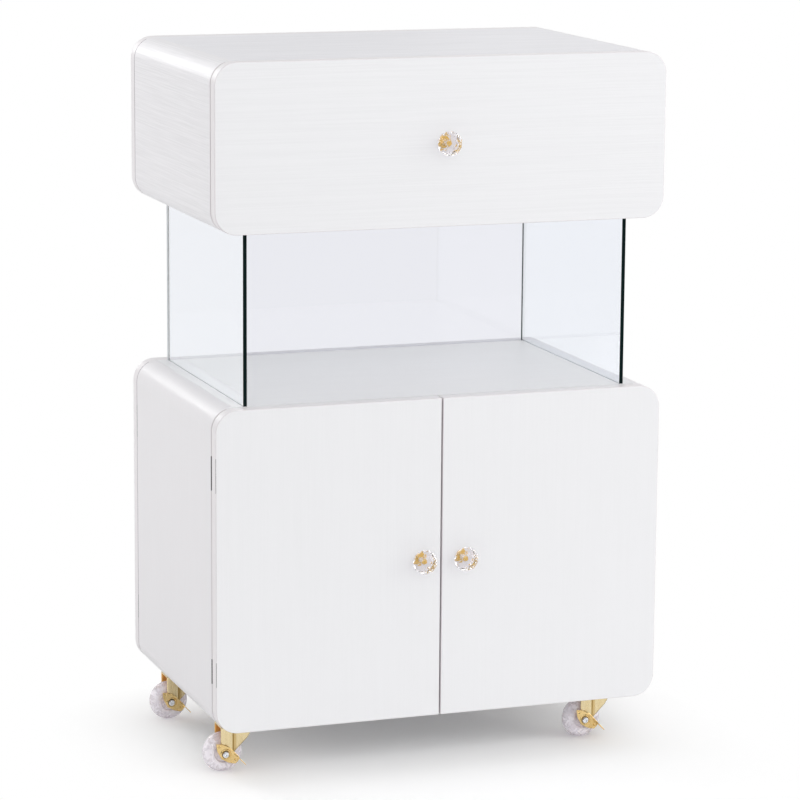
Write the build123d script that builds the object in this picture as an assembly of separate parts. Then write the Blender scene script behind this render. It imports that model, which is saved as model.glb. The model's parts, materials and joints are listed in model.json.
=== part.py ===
from build123d import *
from math import sqrt
import os

# Rolling storage cart in millimetres: X to the right, Y to the back, Z up, the floor at Z 0.
# The origin is on the floor, under the middle of the whole outline with its knobs.

# Cabinet boxes
width = 600.0
depth = 385.0
lower_height = 416.0
bay_height = 219.0
upper_height = 213.0
caster_height = 68.0
corner_radius = 28.5
shell_board = 15.0
front_board = 18.0
back_board = 18.0
front_gap = 2.5
door_gap = 2.0
edge_round = 1.0

# Glass panes and the grooves that hold them
glass_thickness = 5.0
glass_inset = 42.5
glass_setback = 1.5
groove_depth = 8.0
groove_clearance = 0.3

# Drawer box behind the drawer front
drawer_board = 12.0
drawer_side_height = 130.0
drawer_lift = 14.0
drawer_rear_room = 20.0
drawer_bottom_thickness = 5.0
drawer_bottom_lift = 10.0
drawer_groove_depth = 5.0
drawer_joint_shares = (0.3, 0.8)

# Ball bearing slides
slide_thickness = 12.7
slide_height = 35.0
slide_length = 300.0
slide_setback = 3.0
slide_metal = 1.2
rail_flange = 10.0
rail_lip = 2.0
inner_rail_height = 22.0
inner_rail_flange = 9.0
slide_ball_radius = 2.4
slide_ball_count = 8
slide_ball_pitch = 10.5
cage_metal = 0.8
cage_side_gap = 0.3
cage_length = 90.0
ball_pocket_clearance = 0.15
cabinet_rail_screw_inset = 24.0
drawer_rail_screw_inset = 45.0

# Knobs
knob_radius = 16.0
knob_table_radius = 9.5
knob_foot_radius = 11.0
knob_sides = 12
knob_base_radius = 7.5
knob_base_thickness = 2.5
knob_foot_depth = 9.0
knob_band_depth = 8.5
knob_crown_depth = 7.0
knob_stem_radius = 3.6
knob_stem_cover = 5.0
door_knob_offset = 28.0
knob_screw_radius = 2.0
knob_screw_head = 4.0
knob_screw_grip = 9.0
knob_base_round = 0.75

# Concealed door hinges
hinge_from_end = 77.0
cup_radius = 13.0
cup_edge_distance = 3.0
cup_depth = 13.0
cup_wall = 0.8
flange_length = 46.0
flange_edge_distance = 2.8
flange_width = 25.0
flange_thickness = 1.2
pin_edge_distance = 7.0
pin_face_distance = 8.6
pin_radius = 1.3
arm_metal = 3.0
arm_eye_radius = 2.4
arm_reach = 15.0
arm_width = 7.0
arm_body_start = 6.0
arm_body_length = 38.0
arm_foot_width = 34.0
arm_foot_metal = 1.6
screw_edge_margin = 1.0

# Wood screws and dowels
screw_radius = 1.6
screw_head = 3.2
screw_head_depth = 1.6
screw_length = 11.0
cross_depth_share = 0.6
cross_width_share = 0.22
cross_reach_share = 1.1
dowel_radius = 3.0
dowel_length = 24.0
dowels_per_joint = 3
dowel_end_margin = 40.0

# Casters
caster_side_inset = 51.0
caster_end_inset = 67.0
caster_trail = 24.0
plate_size = 38.0
plate_corner_radius = 3.0
plate_thickness = 2.0
plate_screw_spacing = 28.0
race_radius = 15.0
race_height = 3.8
kingpin_radius = 4.0
kingpin_head_radius = 6.5
kingpin_head_height = 2.0
fork_top_thickness = 2.5
fork_metal = 2.0
fork_inner_width = 26.0
fork_tail = 5.4
fork_flat_length = 15.6
fork_nose_reach = 14.5
fork_nose_half = 9.5
fork_nose_height = 5.6
fork_foot_drop = 7.0
fork_slant_reach = 5.1
fork_slant_rise = 4.0
fork_knee_back = 8.0
fork_knee_drop = 11.1
wheel_radius = 26.0
wheel_width = 21.0
wheel_face_radius = 15.0
wheel_groove_inner = 8.0
wheel_groove_outer = 13.0
wheel_groove_depth = 3.0
axle_radius = 3.0
axle_head_radius = 4.3
axle_head_height = 3.0
axle_head_round = 1.2
socket_radius = 2.15
socket_depth = 1.8
nut_radius = 5.0
nut_height = 3.5
brake_metal = 1.5
brake_half_length = 18.8
brake_half_width = 8.0
brake_middle = 1.0
brake_slope = 47.0
brake_rib_reach = 4.0
brake_rib_metal = 1.2
brake_rib_start = -7.0
brake_web_end = 16.0
pedal_start = 12.0
pedal_reach = 28.0
pedal_width = 10.0
brake_ring_radius = 6.6

# Clearances
running_clearance = 0.05
side_clearance = 0.3
face_clearance = 0.1

# Places worked out from the sizes above
knob_depth = knob_foot_depth + knob_band_depth + knob_crown_depth
knob_reach = knob_base_thickness + knob_depth
front_y = (knob_reach - depth) / 2
shell_front = front_y + front_board + front_gap
shell_rear = front_y + depth - back_board
half_width = width / 2
seam_x = half_width - corner_radius
inner_half = half_width - shell_board
lower_z = caster_height
deck_z = lower_z + lower_height
upper_z = deck_z + bay_height
top_z = upper_z + upper_height
far = width + depth + top_z


# Shape helpers
def slab(x0, x1, y0, y1, z0, z1):
    """Box between two corners."""
    return Pos((x0 + x1) / 2, (y0 + y1) / 2, (z0 + z1) / 2) * Box(x1 - x0, y1 - y0, z1 - z0)


def along_y(profile, y0, y1):
    """Solid of a profile drawn in X and Z, from y0 back to y1."""
    return Pos(0, y1, 0) * Rot(90, 0, 0) * extrude(profile, y1 - y0)


def along_z(profile, z0, z1):
    """Solid of a profile drawn in X and Y, from z0 up to z1."""
    return Pos(0, 0, z0) * extrude(profile, z1 - z0)


def rod_x(x0, x1, y, z, radius):
    """Round bar along X."""
    return Pos((x0 + x1) / 2, y, z) * Rot(0, 90, 0) * Cylinder(radius, x1 - x0)


def rod_y(x, z, radius, y0, y1):
    """Round bar along Y."""
    return Pos(x, (y0 + y1) / 2, z) * Rot(90, 0, 0) * Cylinder(radius, y1 - y0)


def rod_z(x, y, radius, z0, z1):
    """Round bar along Z."""
    return Pos(x, y, (z0 + z1) / 2) * Cylinder(radius, z1 - z0)


def flipped(shape):
    """The same piece for the other side of the cart."""
    return mirror(shape, about=Plane.YZ)


def group(shapes):
    """Separate solids of one node."""
    return Compound([solid for shape in shapes for solid in shape.solids()])


def cut(shape, tools):
    """Shape with a list of tools taken out."""
    for tool in tools:
        shape = shape - tool
    return shape


# Screws, dowels and their holes
def screw_shape(radius, head, head_depth, length):
    """Countersunk screw with its head's face at the origin, pointing down, and a cross recess."""
    deep = head_depth * cross_depth_share
    slot = head * cross_width_share
    reach = head * cross_reach_share
    body = Pos(0, 0, -head_depth / 2) * Cone(radius, head, head_depth)
    body += Pos(0, 0, -(head_depth + length) / 2) * Cylinder(radius, length - head_depth)
    body -= Pos(0, 0, -deep / 2) * Box(reach, slot, deep)
    return body - Pos(0, 0, -deep / 2) * Box(slot, reach, deep)


def screw_room(radius, head, head_depth, length):
    """Hole and countersink for a screw, a running clearance wider all round."""
    wide = radius + running_clearance
    wide_head = head + running_clearance
    room = Pos(0, 0, -head_depth / 2) * Cone(wide, wide_head, head_depth)
    return room + Pos(0, 0, -(head_depth + length) / 2) * Cylinder(wide, length - head_depth)


wood_screw = (screw_radius, screw_head, screw_head_depth, screw_length)
knob_screw = (knob_screw_radius, knob_screw_head, screw_head_depth, front_board + knob_screw_grip)


def screws_at(places, size):
    """Screws at a list of origins and outward directions."""
    return [Plane(origin=o, z_dir=d).location * screw_shape(*size) for o, d in places]


def rooms_at(places, size):
    """Holes for the same list."""
    return [Plane(origin=o, z_dir=d).location * screw_room(*size) for o, d in places]


def spread(low, high, count):
    """Evenly spaced values from low to high."""
    return [low + (high - low) * n / (count - 1) for n in range(count)]


# Rounded boxes
def outline(height, inset):
    """Rounded outline of a box, drawn in X and Z about its middle."""
    return RectangleRounded(width - 2 * inset, height - 2 * inset, corner_radius - inset)


def rounded_rims(board):
    """Board with the rims of its front and back faces rounded over."""
    faces = board.faces().sort_by(Axis.Y)
    return fillet(faces[0].edges() + faces[-1].edges(), edge_round)


def overlay_board(z0, height, y0, y1):
    """Board that covers the whole front or back of a box."""
    return rounded_rims(along_y(Pos(0, z0 + height / 2) * outline(height, 0), y0, y1))


def shell(z0, height):
    """Left side, right side, top and bottom of a box: the two sides carry the round corners."""
    ring = Pos(0, z0 + height / 2) * (outline(height, 0) - outline(height, shell_board))
    tube = along_y(ring, shell_front, shell_rear)
    middle = z0 + height / 2
    left = tube & slab(-far, -seam_x, -far, far, z0, z0 + height)
    right = tube & slab(seam_x, far, -far, far, z0, z0 + height)
    top = tube & slab(-seam_x, seam_x, -far, far, middle, z0 + height)
    bottom = tube & slab(-seam_x, seam_x, -far, far, z0, middle)
    return [left, right, top, bottom]


def joint_dowels(z0, height, clearance):
    """Dowels across the four joints of a box, or their holes when a clearance is given."""
    radius = dowel_radius + clearance
    half = dowel_length / 2 + clearance
    pins = []
    for y in spread(shell_front + dowel_end_margin, shell_rear - dowel_end_margin, dowels_per_joint):
        for z in (z0 + shell_board / 2, z0 + height - shell_board / 2):
            for x in (-seam_x, seam_x):
                pins.append(rod_x(x - half, x + half, y, z, radius))
    return pins


# Glass
pane_outer = half_width - glass_inset
pane_inner = pane_outer - glass_thickness
pane_front = shell_front + glass_setback
pane_rear = shell_rear - groove_clearance
pane_low = deck_z - groove_depth
pane_high = upper_z + groove_depth
back_pane_half = pane_inner - groove_clearance


def glass_panes():
    """Left, right and back panes."""
    left = slab(-pane_outer, -pane_inner, pane_front, pane_rear, pane_low, pane_high)
    back_y = pane_rear - glass_thickness
    back = slab(-back_pane_half, back_pane_half, back_y, pane_rear, pane_low, pane_high)
    return [left, flipped(left), back]


def groove_cuts(z0, z1):
    """Grooves for the three panes, between two heights."""
    low_x = pane_inner - groove_clearance
    high_x = pane_outer + groove_clearance
    front = pane_front - groove_clearance
    side = slab(-high_x, -low_x, front, shell_rear, z0, z1)
    rear_y = pane_rear - glass_thickness - groove_clearance
    return [side, flipped(side), slab(-high_x, high_x, rear_y, shell_rear, z0, z1)]


# Drawer slides: the profiles are drawn for the left side, in X and Z
slide_z = upper_z + shell_board + drawer_lift + drawer_side_height / 2
slide_start = shell_front + slide_setback
slide_end = slide_start + slide_length
rail_x = -inner_half
drawer_side_x = rail_x + slide_thickness
race_inner = slide_height / 2 - slide_metal
race_middle = (race_inner + inner_rail_height / 2) / 2
slide_ball_x = rail_x + slide_metal + rail_flange / 2 - cage_side_gap
slide_middle = (slide_start + slide_end) / 2


def bar(x0, x1, z0, z1, y0, y1):
    """Flat metal strip of a slide, at a height counted from the slide's middle."""
    return slab(x0, x1, y0, y1, slide_z + z0, slide_z + z1)


def outer_rail():
    """Channel with inward lips, fixed to the cabinet side."""
    top = slide_height / 2
    end_x = rail_x + rail_flange
    rail = bar(rail_x, rail_x + slide_metal, -top, top, slide_start, slide_end)
    for low, high in ((race_inner, top), (-top, -race_inner)):
        rail += bar(rail_x, end_x, low, high, slide_start, slide_end)
    for low, high in ((race_inner - rail_lip, race_inner), (-race_inner, rail_lip - race_inner)):
        rail += bar(end_x - slide_metal, end_x, low, high, slide_start, slide_end)
    return rail


def inner_rail():
    """Smaller channel, fixed to the drawer side."""
    top = inner_rail_height / 2
    web_x = drawer_side_x - slide_metal
    rail = bar(web_x, drawer_side_x, -top, top, slide_start, slide_end)
    for low, high in ((top - slide_metal, top), (-top, slide_metal - top)):
        rail += bar(web_x - inner_rail_flange, drawer_side_x, low, high, slide_start, slide_end)
    return rail


def slide_ball_places():
    """Middles of the balls of one slide: two rows."""
    first = slide_middle - slide_ball_pitch * (slide_ball_count - 1) / 2
    along = [first + slide_ball_pitch * n for n in range(slide_ball_count)]
    return [(slide_ball_x, y, slide_z + z) for z in (-race_middle, race_middle) for y in along]


def ball_cage():
    """Thin channel with a pocket for each ball, which runs between the two rails."""
    y0 = slide_middle - cage_length / 2
    y1 = slide_middle + cage_length / 2
    web_x = rail_x + slide_metal + cage_side_gap
    end_x = rail_x + rail_flange - slide_metal - cage_side_gap
    reach = race_middle + cage_metal / 2
    web_end = drawer_side_x - slide_metal - inner_rail_flange - cage_side_gap
    cage = bar(web_x, web_end, -reach, reach, y0, y1)
    for low, high in ((reach - cage_metal, reach), (-reach, cage_metal - reach)):
        cage += bar(web_x, end_x, low, high, y0, y1)
    pocket = slide_ball_radius + ball_pocket_clearance
    holes = [rod_z(x, y, pocket, z - cage_metal, z + cage_metal) for x, y, z in slide_ball_places()]
    return cut(cage, holes)


cabinet_rail_screws = [
    ((rail_x + slide_metal, y, slide_z), (1, 0, 0))
    for y in (slide_start + cabinet_rail_screw_inset, slide_end - cabinet_rail_screw_inset)
]
drawer_rail_screws = [
    ((drawer_side_x - slide_metal, y, slide_z), (-1, 0, 0))
    for y in (slide_start + drawer_rail_screw_inset, slide_end - drawer_rail_screw_inset)
]

# Drawer box
drawer_low = upper_z + shell_board + drawer_lift
drawer_high = drawer_low + drawer_side_height
drawer_front_inner = front_y + front_board
drawer_rear = shell_rear - drawer_rear_room
drawer_side_inner = drawer_side_x + drawer_board
bottom_z = drawer_low + drawer_bottom_lift
bottom_edge_x = drawer_side_inner - drawer_groove_depth
bottom_front = drawer_front_inner - drawer_groove_depth
bottom_rear = drawer_rear - drawer_board + drawer_groove_depth
knob_z = (upper_z + top_z) / 2
drawer_joint_heights = [drawer_low + drawer_side_height * share for share in drawer_joint_shares]
drawer_corner_screws = [
    ((drawer_side_x, drawer_rear - drawer_board / 2, z), (-1, 0, 0)) for z in drawer_joint_heights
]


def drawer_dowels(clearance):
    """Dowels between the drawer front and the left side, or their holes when a clearance is given."""
    x = drawer_side_x + drawer_board / 2
    radius = dowel_radius + clearance
    y0 = drawer_front_inner - dowel_length / 2 - clearance
    y1 = drawer_front_inner + dowel_length / 2 + clearance
    return [rod_y(x, z, radius, y0, y1) for z in drawer_joint_heights]


def bottom_groove():
    """Room for the drawer's bottom board, a clearance wider than the board."""
    edge = -bottom_edge_x + side_clearance
    high = bottom_z + drawer_bottom_thickness + side_clearance
    return slab(-edge, edge, bottom_front - side_clearance, bottom_rear + side_clearance, bottom_z, high)


def drawer_box():
    """Front, left side, right side, back and bottom of the drawer."""
    front = overlay_board(upper_z, upper_height, front_y, drawer_front_inner)
    front = cut(front, [bottom_groove()] + drawer_dowels(running_clearance))
    front = cut(front, [flipped(pin) for pin in drawer_dowels(running_clearance)])
    front = cut(front, knob_rooms(0, knob_z))
    left = slab(drawer_side_x, drawer_side_inner, drawer_front_inner, drawer_rear, drawer_low, drawer_high)
    left = cut(left, [bottom_groove()] + drawer_dowels(running_clearance))
    left = cut(left, rooms_at(drawer_rail_screws + drawer_corner_screws, wood_screw))
    back_y = drawer_rear - drawer_board
    back = slab(drawer_side_inner, -drawer_side_inner, back_y, drawer_rear, drawer_low, drawer_high)
    corner_rooms = rooms_at(drawer_corner_screws, wood_screw)
    back = cut(back, [bottom_groove()] + corner_rooms + [flipped(room) for room in corner_rooms])
    bottom_high = bottom_z + drawer_bottom_thickness
    bottom = slab(bottom_edge_x, -bottom_edge_x, bottom_front, bottom_rear, bottom_z, bottom_high)
    return [front, left, flipped(left), back, bottom]


# Knobs
def polygon_at(radius, y):
    """Facet outline of a knob's crystal, at a distance in front of the board."""
    return Plane(origin=(0, y, 0), z_dir=(0, -1, 0)) * RegularPolygon(radius, knob_sides)


def knob_crystal(x, z):
    """Faceted clear body with a blind bore for the stem."""
    foot_y = -knob_base_thickness
    band_y = foot_y - knob_foot_depth
    crown_y = band_y - knob_band_depth
    table_y = crown_y - knob_crown_depth
    radii = (knob_foot_radius, knob_radius, knob_radius, knob_table_radius)
    levels = (foot_y, band_y, crown_y, table_y)
    body = loft([polygon_at(radius, y) for radius, y in zip(radii, levels)], ruled=True)
    bore = rod_y(0, 0, knob_stem_radius + running_clearance, table_y + knob_stem_cover, foot_y)
    return Pos(x, front_y, z) * (body - bore)


def knob_base(x, z):
    """Round base with a stem inside the crystal, bored for the screw."""
    stem_y = -knob_reach + knob_stem_cover + face_clearance
    base = rod_y(0, 0, knob_base_radius, -knob_base_thickness, 0)
    base = fillet(base.faces().sort_by(Axis.Y)[0].edges(), knob_base_round)
    base += rod_y(0, 0, knob_stem_radius, stem_y, -knob_base_thickness / 2)
    base -= rod_y(0, 0, knob_screw_radius + running_clearance, -knob_screw_grip - face_clearance, 0)
    return Pos(x, front_y, z) * base


def knob_screws(x, z):
    """Screw from behind the board into the knob's stem."""
    return screws_at([((x, front_y + front_board, z), (0, 1, 0))], knob_screw)


def knob_rooms(x, z):
    """Hole for the knob's screw."""
    return rooms_at([((x, front_y + front_board, z), (0, 1, 0))], knob_screw)


# Doors and hinges: drawn for the left door, in X and Y
pin_x = -half_width + pin_edge_distance
pin_y = front_y + pin_face_distance
door_back = front_y + front_board
cup_x = -half_width + cup_edge_distance + cup_radius
door_knob_z = (lower_z + deck_z) / 2
hinge_heights = (lower_z + hinge_from_end, deck_z - hinge_from_end)
arm_body_y = shell_front + arm_body_start
arm_middle_y = arm_body_y + arm_body_length / 2
arm_x = pin_x + arm_reach
flange_left = -half_width + flange_edge_distance
cup_screw_offset = flange_length / 2 - screw_head - screw_edge_margin
arm_screw_offset = arm_foot_width / 2 - screw_head - screw_edge_margin
cup_screw_places = [
    ((cup_x, door_back + flange_thickness, z + side * cup_screw_offset), (0, 1, 0))
    for z in hinge_heights
    for side in (-1, 1)
]
arm_screw_places = [
    ((-inner_half + arm_foot_metal, arm_middle_y, z + side * arm_screw_offset), (1, 0, 0))
    for z in hinge_heights
    for side in (-1, 1)
]


def left_door():
    """Full overlay door with its two outer corners round, cup bores and screw holes."""
    door = along_y(Pos(0, lower_z + lower_height / 2) * outline(lower_height, 0), front_y, door_back)
    door &= slab(-far, -door_gap / 2, -far, far, lower_z, deck_z)
    door = rounded_rims(door)
    bore = cup_radius + running_clearance
    bores = [rod_y(cup_x, z, bore, door_back - cup_depth, door_back) for z in hinge_heights]
    holes = rooms_at(cup_screw_places, wood_screw) + knob_rooms(-door_knob_offset, door_knob_z)
    return cut(door, bores + holes)


def hinge_cup(z):
    """Cup let into the door, with a long flange on the door's back and holes for the pin."""
    floor_y = door_back - cup_depth
    flange_y = door_back + flange_thickness
    cup = rod_y(cup_x, z, cup_radius, floor_y, flange_y)
    half = flange_length / 2
    cup += slab(flange_left, flange_left + flange_width, door_back, flange_y, z - half, z + half)
    cup -= rod_y(cup_x, z, cup_radius - cup_wall, floor_y + cup_wall, flange_y)
    cup -= rod_z(pin_x, pin_y, pin_radius + running_clearance, z - cup_radius, z + cup_radius)
    return cup


def hinge_pin(z):
    """Pin through the arm's eye, with its ends in the cup wall."""
    offset = cup_x - pin_x + pin_radius
    half = sqrt(cup_radius**2 - offset**2) - side_clearance
    return rod_z(pin_x, pin_y, pin_radius, z - half, z + half)


def hinge_arm(z):
    """Goose neck arm: an eye on the pin, a neck out of the cup and a body screwed to the cabinet side."""
    low = pin_y - arm_metal / 2
    half = arm_width / 2
    foot = arm_foot_width / 2
    end_y = arm_body_y + arm_body_length
    arm = rod_z(pin_x, pin_y, arm_eye_radius, z - half, z + half)
    arm += slab(pin_x, arm_x, low, low + arm_metal, z - half, z + half)
    arm += slab(arm_x - arm_metal, arm_x, low, end_y, z - half, z + half)
    arm += slab(-inner_half, arm_x, arm_body_y, end_y, z - half, z + half)
    arm += slab(-inner_half, -inner_half + arm_foot_metal, arm_body_y, end_y, z - foot, z + foot)
    return arm - rod_z(pin_x, pin_y, pin_radius + running_clearance, z - half, z + half)


# Casters: drawn about the swivel axis, rolling along X, with the wheel trailing to the left
plate_low = caster_height - plate_thickness
race_low = plate_low - race_height
fork_top = race_low - face_clearance
fork_roof = fork_top - fork_top_thickness
fork_half = fork_inner_width / 2 + fork_metal
fork_rear = -caster_trail - fork_tail
fork_bend = fork_rear + fork_flat_length
caster_x = half_width - caster_side_inset
caster_places = {
    "front_left": (-caster_x, front_y + caster_end_inset),
    "front_right": (caster_x, front_y + caster_end_inset),
    "rear_left": (-caster_x, front_y + depth - caster_end_inset),
    "rear_right": (caster_x, front_y + depth - caster_end_inset),
}
plate_half = plate_screw_spacing / 2
plate_screw_places = [
    ((x + dx * plate_half, y + dy * plate_half, plate_low), (0, 0, -1))
    for x, y in caster_places.values()
    for dx in (-1, 1)
    for dy in (-1, 1)
]


def caster_plate():
    """Square plate with a ball race below and a riveted swivel pin."""
    head_top = fork_roof - face_clearance
    half = plate_size / 2
    plate = slab(-half, half, -half, half, plate_low, caster_height)
    plate = fillet(plate.edges().filter_by(Axis.Z), plate_corner_radius)
    plate += rod_z(0, 0, race_radius, race_low, plate_low)
    plate += rod_z(0, 0, kingpin_radius, head_top - kingpin_head_height, race_low)
    return plate + rod_z(0, 0, kingpin_head_radius, head_top - kingpin_head_height, head_top)


def fork_outline(inset, tail):
    """Plan of the fork: flat cheeks at the back, then tapered to a round nose."""
    half = fork_half - inset
    nose = fork_nose_half - inset
    tip = fork_nose_reach - inset
    shoulder = fork_nose_reach - fork_nose_half / 2
    rear = Polyline((fork_bend, -half), (tail, -half), (tail, half), (fork_bend, half))
    tapers = Line((shoulder, -nose), (fork_bend, -half)) + Line((fork_bend, half), (shoulder, nose))
    nose_arc = ThreePointArc((shoulder, nose), (tip, 0), (shoulder, -nose))
    return make_face(rear + tapers + nose_arc)


def fork_side():
    """Side view of the fork, in X and Z: upright at the back, a foot round the axle, a bent slant in front."""
    axle_x = -caster_trail
    low = wheel_radius - fork_foot_drop
    nose_low = fork_roof - fork_nose_height
    points = (
        (fork_rear, fork_top),
        (fork_rear, low + fork_foot_drop / 2),
        (axle_x - fork_foot_drop / 2, low),
        (axle_x + fork_foot_drop / 2, low),
        (fork_bend + fork_slant_reach, wheel_radius + fork_slant_rise),
        (fork_nose_reach - fork_knee_back, nose_low - fork_knee_drop),
        (fork_nose_reach, nose_low),
        (fork_nose_reach, fork_top),
    )
    return make_face(Polyline(*points, close=True))


def caster_fork():
    """Pressed fork: a round roof under the race, and two cheeks that hold the axle."""
    body = along_z(fork_outline(0, fork_rear), 0, fork_top)
    hollow = along_z(fork_outline(fork_metal, fork_rear - fork_half), 0, fork_roof)
    fork = (body - hollow) & along_y(fork_side(), -far, far)
    fork += rod_z(0, 0, race_radius, fork_roof, fork_top)
    fork -= rod_z(0, 0, kingpin_radius + running_clearance, 0, fork_top)
    return fork - rod_y(-caster_trail, wheel_radius, axle_radius + running_clearance, -far, far)


def caster_wheel():
    """Clear wheel: flat hub faces with a ring groove, and a round tread."""
    half = wheel_width / 2
    bore = axle_radius + running_clearance
    floor = half - wheel_groove_depth
    outline_half = Polyline(
        (bore, 0), (bore, half), (wheel_groove_inner, half), (wheel_groove_inner, floor),
        (wheel_groove_outer, floor), (wheel_groove_outer, half), (wheel_face_radius, half),
    )
    tread = wheel_radius - wheel_face_radius
    crown = EllipticalCenterArc((wheel_face_radius, 0), tread, half, start_angle=0, arc_size=90)
    profile = make_face(outline_half + crown + Line((wheel_radius, 0), (bore, 0)))
    side = revolve(profile, Axis.Y)
    wheel = side + mirror(side, about=Plane.XZ)
    return Pos(-caster_trail, 0, wheel_radius) * wheel


brake_outer = -fork_half - side_clearance - brake_metal
head_low = brake_outer - face_clearance


def caster_axle():
    """Bolt through the brake lever, both cheeks and the wheel, with a socket head and a six sided nut."""
    x = -caster_trail
    bolt = rod_y(x, wheel_radius, axle_radius, head_low, fork_half + nut_height)
    head = rod_y(x, wheel_radius, axle_head_radius, head_low - axle_head_height, head_low)
    head = fillet(head.faces().sort_by(Axis.Y)[0].edges(), axle_head_round)
    socket = Plane(origin=(x, head_low - axle_head_height, wheel_radius), z_dir=(0, 1, 0))
    head -= socket.location * extrude(RegularPolygon(socket_radius, 6), socket_depth)
    nut_plane = Plane(origin=(x, fork_half, wheel_radius), z_dir=(0, 1, 0))
    nut = nut_plane.location * extrude(RegularPolygon(nut_radius, 6), nut_height)
    return bolt + head + nut


def caster_brake():
    """Leaf shaped lever on the axle bolt: its top edge is straight, and a rib on it runs on as the pedal."""
    inner = brake_outer + brake_metal
    arc_radius = (brake_half_length**2 + brake_half_width**2) / (2 * brake_half_width)
    shift = arc_radius - brake_half_width
    top = brake_middle + brake_half_width
    lower_arc = Pos(0, brake_middle + shift) * Circle(arc_radius)
    upper_arc = Pos(0, brake_middle - shift) * Circle(arc_radius)
    web_corners = ((0, top), (brake_web_end, top), (brake_half_length, brake_middle), (0, brake_middle))
    web = make_face(Polyline(*web_corners, close=True))
    strip_height = top - brake_rib_metal / 2
    rib = Rectangle(pedal_start - brake_rib_start, brake_rib_metal)
    rib = Pos((brake_rib_start + pedal_start) / 2, strip_height) * rib
    pedal = Rectangle(pedal_reach - pedal_start, brake_rib_metal)
    pedal = Pos((pedal_start + pedal_reach) / 2, strip_height) * pedal
    lever = along_y((lower_arc & upper_arc) + web, brake_outer, inner)
    lever += along_y(rib, brake_outer - brake_rib_reach, inner)
    lever += along_y(pedal, brake_outer - pedal_width + brake_metal, inner)
    lever += rod_y(0, 0, brake_ring_radius, brake_outer - brake_metal / 2, inner)
    lever -= rod_y(0, 0, axle_head_radius + side_clearance, brake_outer - brake_metal, brake_outer)
    lever -= rod_y(0, 0, axle_radius + running_clearance, brake_outer - brake_metal, inner)
    return Pos(-caster_trail, 0, wheel_radius) * Rot(0, brake_slope, 0) * lever


# Everything by node
parts = {}

for name, z0, height in (("lower", lower_z, lower_height), ("upper", upper_z, upper_height)):
    sides = shell(z0, height)
    dowel_holes = joint_dowels(z0, height, running_clearance)
    for label, panel in zip(("left_side", "right_side", "top", "bottom"), sides):
        parts[f"{name}_{label}"] = cut(panel, dowel_holes)
    parts[f"{name}_back"] = overlay_board(z0, height, shell_rear, front_y + depth)

left_rail_rooms = rooms_at(cabinet_rail_screws, wood_screw)
left_arm_rooms = rooms_at(arm_screw_places, wood_screw)
parts["lower_top"] = cut(parts["lower_top"], groove_cuts(pane_low, deck_z))
parts["upper_bottom"] = cut(parts["upper_bottom"], groove_cuts(upper_z, pane_high))
parts["lower_left_side"] = cut(parts["lower_left_side"], left_arm_rooms)
right_arm_rooms = [flipped(room) for room in left_arm_rooms]
parts["lower_right_side"] = cut(parts["lower_right_side"], right_arm_rooms)
parts["upper_left_side"] = cut(parts["upper_left_side"], left_rail_rooms)
parts["upper_right_side"] = cut(parts["upper_right_side"], [flipped(room) for room in left_rail_rooms])
parts["lower_bottom"] = cut(parts["lower_bottom"], rooms_at(plate_screw_places, wood_screw))

parts["left_glass"], parts["right_glass"], parts["back_glass"] = glass_panes()
all_dowels = joint_dowels(lower_z, lower_height, 0) + joint_dowels(upper_z, upper_height, 0)
parts["panel_dowels"] = group(all_dowels)

left_outer = cut(outer_rail(), left_rail_rooms)
left_inner = cut(inner_rail(), rooms_at(drawer_rail_screws, wood_screw))
slide_balls = [Pos(*place) * Sphere(slide_ball_radius) for place in slide_ball_places()]
parts["outer_slide_rails"] = group([left_outer, flipped(left_outer)])
parts["inner_slide_rails"] = group([left_inner, flipped(left_inner)])
parts["ball_cages"] = group([ball_cage(), flipped(ball_cage())])
parts["slide_balls"] = group(slide_balls + [flipped(ball) for ball in slide_balls])

drawer_names = ("drawer_front", "drawer_left_side", "drawer_right_side", "drawer_back", "drawer_bottom")
parts.update(zip(drawer_names, drawer_box()))
left_drawer_screws = screws_at(drawer_rail_screws + drawer_corner_screws, wood_screw)
parts["drawer_screws"] = group(left_drawer_screws + [flipped(screw) for screw in left_drawer_screws])
parts["drawer_dowels"] = group(drawer_dowels(0) + [flipped(pin) for pin in drawer_dowels(0)])

arms = [cut(hinge_arm(z), left_arm_rooms) for z in hinge_heights]
pins = [hinge_pin(z) for z in hinge_heights]
cups = [cut(hinge_cup(z), rooms_at(cup_screw_places, wood_screw)) for z in hinge_heights]
cup_screws = screws_at(cup_screw_places, wood_screw)
parts["hinge_arms"] = group(arms + [flipped(arm) for arm in arms])
parts["hinge_pins"] = group(pins + [flipped(pin) for pin in pins])
parts["left_door"] = left_door()
parts["right_door"] = flipped(parts["left_door"])
parts["left_hinge_cups"] = group(cups)
parts["right_hinge_cups"] = group([flipped(cup) for cup in cups])
parts["left_cup_screws"] = group(cup_screws)
parts["right_cup_screws"] = group([flipped(screw) for screw in cup_screws])

knob_places = {
    "drawer": (0, knob_z),
    "left_door": (-door_knob_offset, door_knob_z),
    "right_door": (door_knob_offset, door_knob_z),
}
for name, (x, z) in knob_places.items():
    parts[f"{name}_knob_crystal"] = knob_crystal(x, z)
    parts[f"{name}_knob_base"] = knob_base(x, z)
    parts[f"{name}_knob_screw"] = group(knob_screws(x, z))

side_screws = screws_at(cabinet_rail_screws + arm_screw_places, wood_screw)
plate_screws = screws_at(plate_screw_places, wood_screw)
parts["cabinet_screws"] = group(side_screws + [flipped(screw) for screw in side_screws] + plate_screws)

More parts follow.
